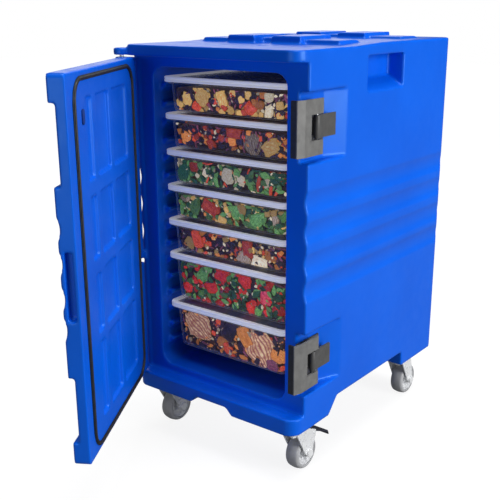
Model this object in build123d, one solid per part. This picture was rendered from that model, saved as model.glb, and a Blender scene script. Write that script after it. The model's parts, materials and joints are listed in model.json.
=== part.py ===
from build123d import *
import math
import os

# Insulated food carrier: a foam-filled moulded cabinet on four casters, with a side-hinged
# door, two hook latches and seven covered food pans on moulded rails.
# Millimetres, +Z up, door to the front (-Y).  Every piece is drawn in a cabinet frame
# (X from the left side, Y back from the front rim, Z up from the underside of the feet),
# with the door closed, and moved to the part's own frame when it is written.

# Cabinet
WIDTH = 440
DEPTH = 622
HEIGHT = 762
FRONT_DROP = 4            # the top is this much lower along its front
FRONT_DROP_END = 200
FRONT_DROP_RUN = 100
CORNER_R = 28             # upright corners
SKIN = 4.5                # moulded wall thickness
SEAT = 36                 # the door sits this far behind the front rim
SEAT_HINGE = 32.5         # the seat stands forward to here in a strip along the hinge
SEAT_HINGE_END = 13
SILL = 36
RIM_LOW = 736             # underside of the top rim

# Opening and cavity
OPEN_LEFT = 50
OPEN_RIGHT = WIDTH - OPEN_LEFT
OPEN_LOW = 54
OPEN_HIGH = 714
OPEN_R = 28
CAVITY_BACK = 584

# Hand pockets high on both sides, drawn for the right side
POCKET_MOUTH = (667, 738)
POCKET_LONG = (243, 391)
POCKET_REACH = 38
POCKET_FLOOR = 692        # the floor slopes up to here at the back of the pocket
POCKET_TOP = 748          # the undercut behind the top of the mouth
POCKET_LIP = 14

# Channels under the cabinet, which leave a foot at each corner
ACROSS = (130, 453)
ACROSS_HIGH = 35
ALONG = (162, 278)
ALONG_HIGH = 15

# Blocks and dips on the top
PAD_FRONTS = (186, 438)
PAD_RISE = 12
PAD_LONG = 118
SIDE_PAD_RISE = 5
MIDDLE_PAD_RISE = 6
DIMPLES_X = (67, 172, 268, 373)
DIMPLES_Y = 122

# Ripples moulded in both sides and in the door
RIPPLE_HEIGHTS = (301, 357, 419, 479)
RIPPLE_DEEP = 5
RIPPLE_R = 51

# Door
PIVOT_X = -4
PIVOT_Y = 2.5
DOOR_OPEN = 59.3          # degrees from closed at rest
DOOR_EDGE = 432
DOOR_LOW = 39
DOOR_HIGH = 733
DOOR_INNER = 31.5
DOOR_R = 8
BARREL_R = 13
LUG_R = 16
MIDDLE_LUG_R = 9
TOP_LUG = (737, 751)
MIDDLE_LUG = (296, 314)
BOTTOM_LUG = (20, 35)
HINGE_PINS = ((690, 749), (268, 342), (22, 80))
PIN_R = 4
PIN_GAP = 0.05            # running clearance round every turning pin
PRESS_GAP = 0.02          # clearance round a pin that stays put
LATCH_STEP = 12           # the door is thinner by this where the latches hook over it
LATCH_ZONES = ((84, 209), (551, 686))
LATCH_ZONE_START = 345
GRIP = (316, 440)
GRIP_DEEP = 14
GRIP_Y = (9, 24)
POCKET_ROWS = ((92, 236), (258, 368), (398, 512), (542, 686))
POCKET_COLUMNS = ((84, 182), (202, 282), (302, 338))
POCKET_DEEP = 6
NOTCH = (293, 317)        # the door's cut-away round the middle hinge lug
NOTCH_R = 36

# Gasket
GASKET_X = (36, 396)
GASKET_Z = (50, 719)
GASKET_R = 38
GASKET_STEM = 6
GASKET_BEAD = 9
GASKET_DEEP = 2.5
GASKET_FACE = 35.7

# Latches
RECESS_FLOOR = 418
RECESS_BACK = (115, 172)  # where the back slope starts and ends
RECESS_HEIGHTS = ((80, 212), (552, 684))
LATCH_MIDDLES = {"lower": 148, "upper": 619}
HOOK_HALF = 52
HOOK_OUT = 443.5
HOOK_THICK = 4.5
HOOK_REAR = 79
HOOK_BEND = 19
LIP_FRONT = 1.5
LIP_TIP = 422.5
LATCH_PIN = (437.5, 66)
LATCH_PIN_R = 2
KNUCKLE_R = 6
TAB_END = 126
LATCH_SCREW_Y = (46, 100)
LATCH_SCREW_Z = (-34, 34)  # from the latch's middle
SCREW_R = 2
SCREW_LONG = 18

# Casters
CASTER_X = (40, 400)
CASTER_Y = (60, 518)
TRAIL = 25
FLOOR = -114
WHEEL_R = 38.5
WHEEL_HALF = 16
AXLE_R = 6
KINGPIN_R = 5
BRAKE_RISE = 41           # brake pivot above the axle
BRAKE_BACK = 19           # brake pivot behind the axle
BOLT_X = (-24, 24)
BOLT_Y = (-38, 38)
BOLT_R = 4
BOLT_DEEP = 25
LEG_X = (18.5, 21.5)      # inner and outer face of a fork's leg, from the wheel's middle
CROWN_Z = (-20, -14.3)
LEG_TOP = -16.3
TYRE_THICK = 10
HUB_DISH_R = 24
PEDAL_LONG = 60
PEDAL_DROP = 27
PEDAL_HALF = 17.5

# Pans
RAIL_PITCH = 38
RAIL_TOP = 679.3
RAIL_COUNT = 16
RAIL_REACH = 14
RAIL_LONG = (58, 562)
PAN_STEPS = (0, 2, 4, 6, 8, 10, 13)   # rail that each pan hangs on, counted from the top
SHALLOW = 62
DEEP = 98
PAN_WIDE = 325
PAN_LONG = 530
PAN_FRONT = 50
PAN_WALL = 2.5
TUB_WIDE = 308
TUB_LONG = 510
TUB_R = 24
TUB_TAPER = 5
FOOD_GAP = 0.6
FOOD_TOP = 9              # the food ends this far below the rim
LID_HIGH = 11
FLANGE = 3
RAIL_GAP = 0.3

# The part's own origin: the middle of the whole object's footprint, door open, at the floor
HALF_TURN = math.radians(DOOR_OPEN)
DOOR_REACH = DOOR_EDGE - PIVOT_X
FRONT_MOST = PIVOT_Y - DOOR_REACH * math.sin(HALF_TURN) - PIVOT_Y * math.cos(HALF_TURN)
LEFT_MOST = PIVOT_X - LUG_R
ORIGIN = Vector((LEFT_MOST + HOOK_OUT) / 2, (FRONT_MOST + DEPTH) / 2, FLOOR)


# ---------------------------------------------------------------- simple shapes

def block(x, y, z):
    """Box between the two values of each pair."""
    size = (x[1] - x[0], y[1] - y[0], z[1] - z[0])
    middle = ((x[0] + x[1]) / 2, (y[0] + y[1]) / 2, (z[0] + z[1]) / 2)
    return Pos(*middle) * Box(*size)


def rod(axis, at, span, radius):
    """Cylinder along X, Y or Z; at is its place in the two other directions."""
    length = span[1] - span[0]
    middle = (span[0] + span[1]) / 2
    if axis == "x":
        return Pos(middle, at[0], at[1]) * Rot(0, 90, 0) * Cylinder(radius, length)
    if axis == "y":
        return Pos(at[0], middle, at[1]) * Rot(90, 0, 0) * Cylinder(radius, length)
    return Pos(at[0], at[1], middle) * Cylinder(radius, length)


def prism_x(points, span):
    """Outline of (y, z) points drawn out along X."""
    plane = Plane(origin=(span[0], 0, 0), x_dir=(0, 1, 0), z_dir=(1, 0, 0))
    face = plane * make_face(Polyline(*points, close=True))
    return extrude(face, span[1] - span[0])


def prism_y(points, span):
    """Outline of (x, z) points drawn out along Y."""
    plane = Plane(origin=(0, span[0], 0), x_dir=(1, 0, 0), z_dir=(0, -1, 0))
    face = plane * make_face(Polyline(*points, close=True))
    return extrude(face, span[0] - span[1])


def prism_z(points, span):
    """Outline of (x, y) points drawn out along Z."""
    face = Pos(0, 0, span[0]) * make_face(Polyline(*points, close=True))
    return extrude(face, span[1] - span[0])


def window(x, z, radius, y):
    """Upright rectangle with rounded corners drawn out along Y."""
    plane = Plane(
        origin=((x[0] + x[1]) / 2, y[0], (z[0] + z[1]) / 2),
        x_dir=(1, 0, 0),
        z_dir=(0, -1, 0),
    )
    face = plane * RectangleRounded(x[1] - x[0], z[1] - z[0], radius)
    return extrude(face, y[0] - y[1])


def grown(pair, by):
    return (pair[0] - by, pair[1] + by)


# ---------------------------------------------------------------- cabinet

def body_block(inset):
    """The cabinet's outside without its hollows, shrunk all round by inset."""
    plan = Pos(WIDTH / 2, DEPTH / 2, inset) * RectangleRounded(
        WIDTH - 2 * inset, DEPTH - 2 * inset, CORNER_R - inset
    )
    body = extrude(plan, HEIGHT - 2 * inset)
    low = HEIGHT - FRONT_DROP - inset
    drop = prism_x(
        [
            (-1, low),
            (FRONT_DROP_END, low),
            (FRONT_DROP_END + FRONT_DROP_RUN, HEIGHT - inset),
            (FRONT_DROP_END + FRONT_DROP_RUN, HEIGHT + 1),
            (-1, HEIGHT + 1),
        ],
        (-1, WIDTH + 1),
    )
    grooves = [
        rod("y", (x, z), (-1, DEPTH + 1), RIPPLE_R + inset)
        for z in RIPPLE_HEIGHTS
        for x in (RIPPLE_DEEP - RIPPLE_R, WIDTH - RIPPLE_DEEP + RIPPLE_R)
    ]
    return body - [drop] - grooves


def door_seat(grow):
    """The step that the door closes into, shallower in a strip along the hinge."""
    heights = (SILL - grow, RIM_LOW + grow)
    whole = block((-1, WIDTH + 1), (-1, SEAT_HINGE + grow), heights)
    return whole + block((SEAT_HINGE_END - grow, WIDTH + 1), (-1, SEAT + grow), heights)


def cavity(grow):
    return window(
        (OPEN_LEFT - grow, OPEN_RIGHT + grow),
        (OPEN_LOW - grow, OPEN_HIGH + grow),
        OPEN_R + grow,
        (SEAT - 1, CAVITY_BACK + grow),
    )


def latch_recesses(grow):
    """Hollows in the right side, open to the front, with a sloping back wall."""
    points = [
        (RECESS_FLOOR - grow, -1),
        (WIDTH + 1, -1),
        (WIDTH + 1, RECESS_BACK[1] + grow),
        (RECESS_FLOOR - grow, RECESS_BACK[0] + grow),
    ]
    return [prism_z(points, grown(z, grow)) for z in RECESS_HEIGHTS]


def handle_pockets(grow):
    """Hand pocket high on each side: sloping floor, undercut top for the fingers."""
    back = WIDTH - POCKET_REACH - grow
    lip = WIDTH - POCKET_LIP
    points = [
        (WIDTH + 1, POCKET_MOUTH[0] - grow),
        (back, POCKET_FLOOR - grow),
        (back, POCKET_TOP + grow),
        (lip, POCKET_TOP + grow),
        (lip, POCKET_MOUTH[1] + grow),
        (WIDTH + 1, POCKET_MOUTH[1] + grow),
    ]
    if grow:
        points = points[:3] + [(WIDTH + 1, POCKET_TOP + grow)]
    right = prism_y(points, grown(POCKET_LONG, grow))
    left = prism_y([(WIDTH - x, z) for x, z in points], grown(POCKET_LONG, grow))
    return [left, right]


def underside(grow):
    """Channels across the underside that leave a foot at each corner."""
    across = [
        (ACROSS[0] - grow, -1),
        (ACROSS[0] - grow + 33, ACROSS_HIGH + grow),
        (ACROSS[1] + grow - 3, ACROSS_HIGH + grow),
        (ACROSS[1] + grow, -1),
    ]
    along = [
        (ALONG[0] - grow, -1),
        (ALONG[0] - grow + 16, ALONG_HIGH + grow),
        (ALONG[1] + grow - 16, ALONG_HIGH + grow),
        (ALONG[1] + grow, -1),
    ]
    return [prism_x(across, (-1, WIDTH + 1)), prism_y(along, (-1, DEPTH + 1))]


def hollows(grow):
    """Everything that is cut from the block, each cut grown by grow."""
    return (
        [door_seat(grow), cavity(grow)]
        + latch_recesses(grow)
        + handle_pockets(grow)
        + underside(grow)
    )


def rails():
    """Ledges moulded in both walls of the cavity; their tops carry the pans' flanges."""
    pieces = []
    for k in range(RAIL_COUNT):
        top = RAIL_TOP - RAIL_PITCH * k
        reach = OPEN_LEFT + RAIL_REACH
        points = [(OPEN_LEFT - 1, top), (reach, top), (reach, top - 6), (OPEN_LEFT - 1, top - 18)]
        pieces.append(prism_y(points, RAIL_LONG))
        pieces.append(prism_y([(WIDTH - x, z) for x, z in points], RAIL_LONG))
    return pieces


def top_pads():
    """Stepped blocks on the top that key into the feet of a carrier stacked above."""
    middle = WIDTH / 2
    pieces = []
    for front in PAD_FRONTS:
        for side in (-1, 1):
            tall = sorted((middle + side * 20, middle + side * 96))
            low = sorted((middle + side * 90, middle + side * 178))
            pieces.append(raised_pad(tall, (front, front + PAD_LONG), PAD_RISE))
            pieces.append(raised_pad(low, (front + 16, front + 92), SIDE_PAD_RISE))
        pieces.append(raised_pad((middle - 24, middle + 24), (front + 30, front + 100), MIDDLE_PAD_RISE))
    return pieces


def raised_pad(x, y, rise):
    """Block with sloping sides, rooted a little below the top."""
    slope = 6
    root = HEIGHT - FRONT_DROP - 4
    height = HEIGHT + rise - root
    bottom = Pos((x[0] + x[1]) / 2, (y[0] + y[1]) / 2, root) * Rectangle(x[1] - x[0], y[1] - y[0])
    return extrude(bottom, height, taper=math.degrees(math.atan2(slope, height)) / 2)


def top_dimples():
    """Shallow oval dips along the front of the top."""
    oval = extrude(Ellipse(15, 9), 3, both=True)
    return [Pos(x, DIMPLES_Y, HEIGHT - FRONT_DROP) * oval for x in DIMPLES_X]


def hinge_lugs():
    """Top, middle and bottom lugs that hold the hinge pins in front of the cabinet."""
    pieces = [
        rod("z", (PIVOT_X, PIVOT_Y), MIDDLE_LUG, MIDDLE_LUG_R),
        block((PIVOT_X - 5, 12), (PIVOT_Y, SEAT + 4), MIDDLE_LUG),
    ]
    for z in (TOP_LUG, BOTTOM_LUG):
        pieces.append(rod("z", (PIVOT_X, PIVOT_Y), z, LUG_R))
        pieces.append(block((PIVOT_X, 30), (PIVOT_Y - 2, 28), z))
    return pieces


def caster_bolt_places():
    """Bolt positions of the four caster plates."""
    return [
        (x + dx, y + dy)
        for x in CASTER_X
        for y in CASTER_Y
        for dx in BOLT_X
        for dy in BOLT_Y
    ]


def foot_bosses():
    """Solid pillars in the feet that the caster bolts screw into."""
    return [rod("z", p, (0, 32), 8.5) for p in caster_bolt_places()]


def base_screw_places():
    """(y, z) of the screws that hold both latch bases in their recesses."""
    return [
        (y, middle + dz)
        for middle in LATCH_MIDDLES.values()
        for y in LATCH_SCREW_Y
        for dz in LATCH_SCREW_Z
    ]


def cabinet_core():
    """The foam: it fills the whole space inside the moulded skin."""
    core = body_block(SKIN) - hollows(SKIN) - foot_bosses()
    depth = (RECESS_FLOOR - SCREW_LONG - 4, RECESS_FLOOR)
    screw_bosses = [rod("x", p, depth, 3 * SCREW_R) for p in base_screw_places()]
    return core - screw_bosses


def cabinet_shell(core):
    """The one-piece moulded skin, outside and inside, with its lugs, rails and top pads."""
    shell = body_block(0) - hollows(0) + rails() + top_pads() + hinge_lugs()
    holes = [rod("z", (PIVOT_X, PIVOT_Y), s, PIN_R + PRESS_GAP) for s in HINGE_PINS]
    holes += [rod("z", p, (-1, BOLT_DEEP + 1), BOLT_R + PRESS_GAP) for p in caster_bolt_places()]
    depth = (RECESS_FLOOR - SCREW_LONG, RECESS_FLOOR + 1)
    holes += [rod("x", p, depth, SCREW_R + PRESS_GAP) for p in base_screw_places()]
    return shell - top_dimples() - holes - core


# ---------------------------------------------------------------- door, drawn closed

def door_ripples(grow):
    return [
        rod("x", (RIPPLE_DEEP - RIPPLE_R, z), (24, DOOR_EDGE + 1), RIPPLE_R + grow)
        for z in RIPPLE_HEIGHTS
    ]


def door_hollows(grow):
    """Latch steps, edge grip and inner pockets, each grown by grow."""
    pieces = []
    for zone in LATCH_ZONES:
        across = (LATCH_ZONE_START - grow, WIDTH)
        pieces.append(block(across, (-1, LATCH_STEP + grow), grown(zone, grow)))
    across = (DOOR_EDGE - GRIP_DEEP - grow, WIDTH)
    pieces.append(block(across, grown(GRIP_Y, grow), grown(GRIP, grow)))
    for row in POCKET_ROWS:
        for column in POCKET_COLUMNS:
            pieces.append(
                window(
                    grown(column, grow),
                    grown(row, grow),
                    7,
                    (DOOR_INNER - POCKET_DEEP - grow, DOOR_INNER + 1),
                )
            )
    return pieces + door_ripples(grow)


def gasket_ring(width, y):
    """Closed loop of rectangular section round the opening."""
    half = width / 2
    outer = window(grown(GASKET_X, half), grown(GASKET_Z, half), GASKET_R + half, y)
    inner = window(grown(GASKET_X, -half), grown(GASKET_Z, -half), GASKET_R - half, grown(y, 1))
    return outer - inner


def vent_seat(radius, y):
    """Small upright slot-shaped plug beside the inner pockets."""
    plane = Plane(origin=(352, y[0], 655), x_dir=(0, 0, 1), z_dir=(0, -1, 0))
    return extrude(plane * SlotOverall(26, 2 * radius), y[0] - y[1])


def door_core():
    core = window((16, DOOR_EDGE - SKIN), (DOOR_LOW + SKIN, DOOR_HIGH - SKIN), 4, (4, 27))
    notch = rod("z", (PIVOT_X, PIVOT_Y), grown(NOTCH, SKIN), NOTCH_R + SKIN)
    vent = vent_seat(10, (16, DOOR_INNER))
    return core - door_hollows(4) - [notch, vent]


def door_shell(core):
    panel = window((PIVOT_X, DOOR_EDGE), (DOOR_LOW, DOOR_HIGH), DOOR_R, (0, DOOR_INNER))
    square = block((PIVOT_X, 20), (0, DOOR_INNER), (DOOR_LOW, DOOR_HIGH))
    barrel = rod("z", (PIVOT_X, PIVOT_Y), (DOOR_LOW, DOOR_HIGH), BARREL_R)
    shell = panel + square + barrel - door_hollows(0)
    bores = [rod("z", (PIVOT_X, PIVOT_Y), grown(s, 1), PIN_R + PIN_GAP) for s in HINGE_PINS]
    notch = rod("z", (PIVOT_X, PIVOT_Y), NOTCH, NOTCH_R)
    groove = gasket_ring(GASKET_STEM, (DOOR_INNER - GASKET_DEEP, DOOR_INNER + 1))
    return shell - bores - [notch, groove, vent_seat(5, (DOOR_INNER - 6, DOOR_INNER + 1))] - core


def door_gasket():
    stem = gasket_ring(GASKET_STEM, (DOOR_INNER - GASKET_DEEP, DOOR_INNER))
    return stem + gasket_ring(GASKET_BEAD, (DOOR_INNER, GASKET_FACE))


def door_vent():
    return vent_seat(5, (DOOR_INNER - 6, DOOR_INNER)) + vent_seat(6, (DOOR_INNER, DOOR_INNER + 1.2))


# ---------------------------------------------------------------- latches

def latch_hook(middle):
    """Nylon strap: flat plate, sloping nose, and a notch for the fixed knuckle."""
    inner = HOOK_OUT - HOOK_THICK
    points = [
        (HOOK_OUT, HOOK_REAR),
        (HOOK_OUT, HOOK_BEND),
        (438, LIP_FRONT),
        (435.5, LIP_FRONT),
        (435.5, 6),
        (inner, HOOK_BEND + 2),
        (inner, HOOK_REAR),
    ]
    low, high = middle - HOOK_HALF, middle + HOOK_HALF
    hook = prism_z(points, (low, high))
    notch = (middle - 24, middle + 24)
    barrel = rod("z", LATCH_PIN, (notch[0] - 16, notch[1] + 16), 5)
    hook = hook + barrel - block((425, 450), (40, HOOK_REAR + 1), notch)
    return hook - rod("z", LATCH_PIN, (low - 1, high + 1), LATCH_PIN_R + PIN_GAP)


def latch_lip(middle):
    """Soft lip along the hook's nose that presses on the door."""
    return block((LIP_TIP, 435.5), (LIP_FRONT + 1, 6), (middle - HOOK_HALF, middle + HOOK_HALF))


def latch_base(middle):
    """Fixed leaf: foot screwed to the recess floor, web, knuckle and finger tab."""
    foot = block((RECESS_FLOOR, RECESS_FLOOR + 3.5), (34, 112), (middle - 42, middle + 42))
    web = block((RECESS_FLOOR, 436), (62, 106), (middle - 16, middle + 16))
    tab = block((436, 440.5), (70, TAB_END), (middle - 21.5, middle + 21.5))
    knuckle = rod("z", LATCH_PIN, (middle - 21.5, middle + 21.5), KNUCKLE_R)
    base = foot + web + tab + knuckle
    base -= rod("z", LATCH_PIN, (middle - 60, middle + 60), LATCH_PIN_R + PRESS_GAP)
    holes = [
        rod("x", (y, middle + dz), (RECESS_FLOOR - 1, RECESS_FLOOR + 5), SCREW_R + PRESS_GAP)
        for y in LATCH_SCREW_Y
        for dz in LATCH_SCREW_Z
    ]
    return base - holes


def latch_pins():
    return [rod("z", LATCH_PIN, (m - 38, m + 38), LATCH_PIN_R) for m in LATCH_MIDDLES.values()]


def latch_screws():
    top = RECESS_FLOOR + 3.5
    return [
        rod("x", p, (RECESS_FLOOR - SCREW_LONG, top), SCREW_R) + rod("x", p, (top, top + 2.5), 4)
        for p in base_screw_places()
    ]


# ---------------------------------------------------------------- casters

def caster_plate(x, y):
    plate = Pos(x, y, -3) * extrude(RectangleRounded(66, 95, 6), 3)
    cup = rod("z", (x, y), (-14, -3), 24)
    kingpin = rod("z", (x, y), (-27, -14), KINGPIN_R) + rod("z", (x, y), (-31, -27), 8)
    holes = [rod("z", (x + dx, y + dy), (-4, 1), BOLT_R + 0.3) for dx in BOLT_X for dy in BOLT_Y]
    return plate + cup + kingpin - holes


def caster_bolts():
    """Hexagon-headed bolts, four to a caster."""
    bolts = []
    for x, y in caster_bolt_places():
        head = Pos(x, y, -9) * extrude(RegularPolygon(6.5, 6), 6)
        bolts.append(head + rod("z", (x, y), (-3, BOLT_DEEP), BOLT_R))
    return bolts


def fork_leg(x, y, side, brake):
    """Pressed side plate from the crown down to the axle, with an ear for the brake."""
    axle = (y + TRAIL, FLOOR + WHEEL_R)
    pivot = (axle[0] + BRAKE_BACK, axle[1] + BRAKE_RISE)
    rear = [(pivot[0] + 6, pivot[1] + 5), (pivot[0] + 6, pivot[1] - 6)] if brake else [(y + 27, -26)]
    points = [(y - 20, LEG_TOP), (y + 22, LEG_TOP)] + rear
    points += [(axle[0] + 11, axle[1]), (axle[0], axle[1] - 11), (axle[0] - 11, axle[1])]
    span = sorted((x + side * LEG_X[0], x + side * LEG_X[1]))
    return prism_x(points, span)


def caster_fork(x, y, brake):
    """Crown and two legs; the brake's pivot rivet is part of it."""
    axle = (y + TRAIL, FLOOR + WHEEL_R)
    crown = rod("z", (x, y), CROWN_Z, 23)
    legs = fork_leg(x, y, -1, brake) + fork_leg(x, y, 1, brake)
    bridge = block((x - LEG_X[1], x + LEG_X[1]), (y - 18, y + 18), (CROWN_Z[0], LEG_TOP))
    fork = crown + bridge + legs
    fork -= rod("z", (x, y), (-30, -10), KINGPIN_R + PIN_GAP)
    fork -= rod("x", axle, (x - 30, x + 30), AXLE_R + PRESS_GAP)
    if brake:
        pivot = (axle[0] + BRAKE_BACK, axle[1] + BRAKE_RISE)
        fork += rod("x", pivot, (x - 23, x + 23), 3)
    return fork


def caster_axle(x, y):
    axle = (y + TRAIL, FLOOR + WHEEL_R)
    bolt = rod("x", axle, (x - 25, x + 25), AXLE_R)
    return bolt + rod("x", axle, (x - 25, x - 21.5), 9.5) + rod("x", axle, (x + 21.5, x + 26), 9)


def caster_tyre(x, y):
    axle = (y + TRAIL, FLOOR + WHEEL_R)
    tyre = rod("x", axle, (x - WHEEL_HALF, x + WHEEL_HALF), WHEEL_R)
    tyre = fillet(tyre.edges(), 6)
    return tyre - rod("x", axle, (x - 20, x + 20), WHEEL_R - TYRE_THICK)


def caster_hub(x, y):
    """Dished hub with a boss that runs on the axle."""
    axle = (y + TRAIL, FLOOR + WHEEL_R)
    hub = rod("x", axle, (x - 14, x + 14), WHEEL_R - TYRE_THICK)
    for side in (-1, 1):
        dish = rod("x", axle, sorted((x + side * 5, x + side * 15)), HUB_DISH_R)
        hub -= dish - rod("x", axle, sorted((x + side * 4, x + side * 16)), 11)
        hub += rod("x", axle, sorted((x + side * 4, x + side * 17)), 10)
    return hub - rod("x", axle, (x - 20, x + 20), AXLE_R + PIN_GAP)


def caster_brake(x, y):
    """Foot lever behind the wheel; its cheek presses the tyre when it is pushed down."""
    axle = (y + TRAIL, FLOOR + WHEEL_R)
    pivot = (axle[0] + BRAKE_BACK, axle[1] + BRAKE_RISE)
    across = (x - PEDAL_HALF, x + PEDAL_HALF)
    end = (pivot[0] + PEDAL_LONG, pivot[1] - PEDAL_DROP)
    blade = [
        (pivot[0], pivot[1] + 5),
        (end[0], end[1] + 5),
        (end[0] + 5, end[1] - 6),
        (end[0] + 2, end[1] - 6),
        (end[0] - 2, end[1] + 2),
        (pivot[0] + 1, pivot[1] + 1.5),
    ]
    pedal = rod("x", pivot, across, 5.5) + prism_x(blade, across)
    return pedal - rod("x", pivot, (x - 30, x + 30), 3 + PIN_GAP)


# ---------------------------------------------------------------- pans

def pan_tub(wide, long, depth, base):
    """Tapered rounded tub hanging down from base."""
    plan = Pos(WIDTH / 2, PAN_FRONT + PAN_LONG / 2, base) * RectangleRounded(wide, long, TUB_R)
    return extrude(plan, amount=-depth, taper=TUB_TAPER)


def pan_levels(k):
    """Lid top of pan k, and its depth."""
    top = RAIL_TOP + RAIL_GAP + FLANGE + LID_HIGH - RAIL_PITCH * PAN_STEPS[k]
    return top, (DEEP if k > 4 else SHALLOW)


def food_pan(k):
    top, depth = pan_levels(k)
    rim = top - LID_HIGH
    plan = Pos(WIDTH / 2, PAN_FRONT + PAN_LONG / 2, rim - FLANGE)
    flange = plan * extrude(RectangleRounded(PAN_WIDE - 3, PAN_LONG - 3, 20), FLANGE)
    tub = pan_tub(TUB_WIDE, TUB_LONG, depth, rim)
    inside = pan_tub(TUB_WIDE - 2 * PAN_WALL, TUB_LONG - 2 * PAN_WALL, depth - PAN_WALL, rim + 0.01)
    return flange + tub - inside


def pan_lid(k):
    """Cover with a raised rim band that sits on the flange."""
    top = pan_levels(k)[0]
    plan = Pos(WIDTH / 2, PAN_FRONT + PAN_LONG / 2, top - LID_HIGH)
    outer = plan * extrude(RectangleRounded(PAN_WIDE, PAN_LONG, 21), LID_HIGH)
    under = plan * extrude(RectangleRounded(PAN_WIDE - 18, PAN_LONG - 18, 14), LID_HIGH - 6)
    panel = RectangleRounded(PAN_WIDE - 26, PAN_LONG - 26, 12)
    well = Pos(0, 0, LID_HIGH - 3.5) * plan * extrude(panel, 5)
    return outer - under - well


def food(k):
    """The portion that fills the pan to just under the lid."""
    top, depth = pan_levels(k)
    rim = top - LID_HIGH
    less = 2 * PAN_WALL + FOOD_GAP
    whole = pan_tub(TUB_WIDE - less, TUB_LONG - less, depth - PAN_WALL - 0.4, rim)
    return whole - block((0, WIDTH), (0, DEPTH), (rim - FOOD_TOP, rim + 1))


# ---------------------------------------------------------------- writing

def write(name, shape, turn=False):
    """Moves a piece, or a list of separate pieces, to the part's frame and writes it."""
    if turn:
        hinge = Pos(PIVOT_X, PIVOT_Y, 0)
        swing = hinge * Rot(0, 0, -DOOR_OPEN) * Pos(-PIVOT_X, -PIVOT_Y, 0)
        shape = swing * shape
    solids = shape if isinstance(shape, list) else [shape]
    moved = [Pos(*(-ORIGIN)) * s for s in solids]
    out = moved[0] if len(moved) == 1 else Compound(children=moved)
    export_step(out, f"parts/{name}.step")


def write_cabinet():
    core = cabinet_core()
    write("cabinet_foam", core)
    write("cabinet_shell", cabinet_shell(core))
    pins = [rod("z", (PIVOT_X, PIVOT_Y), s, PIN_R) for s in HINGE_PINS]
    write("hinge_pins", pins)


def write_door():
    core = door_core()
    write("door_foam", core, turn=True)
    write("door_shell", door_shell(core), turn=True)
    write("door_gasket", door_gasket(), turn=True)
    write("door_vent", door_vent(), turn=True)


def write_latches():
    for name, middle in LATCH_MIDDLES.items():
        write(f"{name}_latch_base", latch_base(middle))
        write(f"{name}_latch_hook", latch_hook(middle))
        write(f"{name}_latch_lip", latch_lip(middle))
    write("latch_pins", latch_pins())
    write("latch_screws", latch_screws())


def write_casters():
    corners = [(fx + sx, x, y) for fx, y in zip(("front_", "rear_"), CASTER_Y)
               for sx, x in zip(("left", "right"), CASTER_X)]
    for name, x, y in corners:
        braked = name.startswith("front")
        write(f"{name}_fork", caster_fork(x, y, braked))
        write(f"{name}_axle", caster_axle(x, y))
        write(f"{name}_tyre", caster_tyre(x, y))
        write(f"{name}_hub", caster_hub(x, y))
        if braked:
            write(f"{name}_brake", caster_brake(x, y))
    write("caster_plates", [caster_plate(x, y) for _, x, y in corners])
    write("caster_bolts", caster_bolts())


def write_pans():
    for k in range(len(PAN_STEPS)):
        write(f"pan_{k + 1}", food_pan(k))
        write(f"lid_{k + 1}", pan_lid(k))
        write(f"food_{k + 1}", food(k))


os.makedirs("parts", exist_ok=True)
write_cabinet()
write_door()
write_latches()
write_casters()
write_pans()
print("origin in the cabinet frame:", [round(v, 3) for v in ORIGIN])
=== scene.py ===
"""The insulated food carrier's looks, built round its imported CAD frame.

Metres, +Z up, in the frame's own axes.  The moulded cabinet and door are the CAD shapes with
softened edges; the gasket, lids, pans, wheels and food are built here from the CAD boxes.  The
latches, forks, pins, plates and vent are the CAD parts themselves, given their finishes.
"""
import json
import math
import random

import bmesh
import bpy
import numpy as np
from mathutils import Matrix, Vector, noise


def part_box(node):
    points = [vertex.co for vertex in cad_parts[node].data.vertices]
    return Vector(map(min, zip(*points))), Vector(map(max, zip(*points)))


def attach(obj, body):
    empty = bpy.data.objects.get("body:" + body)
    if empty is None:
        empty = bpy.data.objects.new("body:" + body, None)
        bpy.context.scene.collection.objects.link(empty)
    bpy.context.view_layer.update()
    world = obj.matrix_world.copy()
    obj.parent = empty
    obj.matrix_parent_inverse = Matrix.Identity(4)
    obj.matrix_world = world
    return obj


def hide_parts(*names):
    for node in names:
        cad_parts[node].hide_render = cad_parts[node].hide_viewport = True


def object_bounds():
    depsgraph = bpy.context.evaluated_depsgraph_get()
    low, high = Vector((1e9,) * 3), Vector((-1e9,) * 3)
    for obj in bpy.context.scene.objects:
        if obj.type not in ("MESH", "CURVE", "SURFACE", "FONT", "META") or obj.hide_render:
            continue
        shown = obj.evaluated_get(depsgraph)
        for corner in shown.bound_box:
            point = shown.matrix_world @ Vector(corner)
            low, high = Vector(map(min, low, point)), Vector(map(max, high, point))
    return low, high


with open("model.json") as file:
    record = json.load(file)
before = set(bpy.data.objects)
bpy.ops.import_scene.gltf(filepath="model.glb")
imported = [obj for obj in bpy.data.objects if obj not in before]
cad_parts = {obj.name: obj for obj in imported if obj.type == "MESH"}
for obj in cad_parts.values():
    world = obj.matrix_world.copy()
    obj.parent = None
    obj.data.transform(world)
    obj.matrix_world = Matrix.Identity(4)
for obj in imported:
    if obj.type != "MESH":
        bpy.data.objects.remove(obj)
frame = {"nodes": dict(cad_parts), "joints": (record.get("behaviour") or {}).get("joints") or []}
NODES = frame["nodes"]
CAD_BOX = [list(corner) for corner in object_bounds()]

# Camera, placed from the back right corner of the cabinet's foam, at the floor; angles in
# degrees, lens in millimetres, shift as a share of the frame
CAMERA_FROM_CORNER = (0.851, -1.843, 0.9475)
CAMERA_TILT = 72.663
CAMERA_TURN = 37.569
CAMERA_ROLL = -0.125
CAMERA_LENS = 59.82
CAMERA_SHIFT = (-0.0106, 0.0288)

# Light: the sky is a sun with a wide disc, in W/m2, and its spread is in degrees
AMBIENT = 0.05
SKY_FROM = (0.1, 0.05, 1.0)
SKY_POWER = 2.6
SKY_SPREAD = 36

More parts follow.
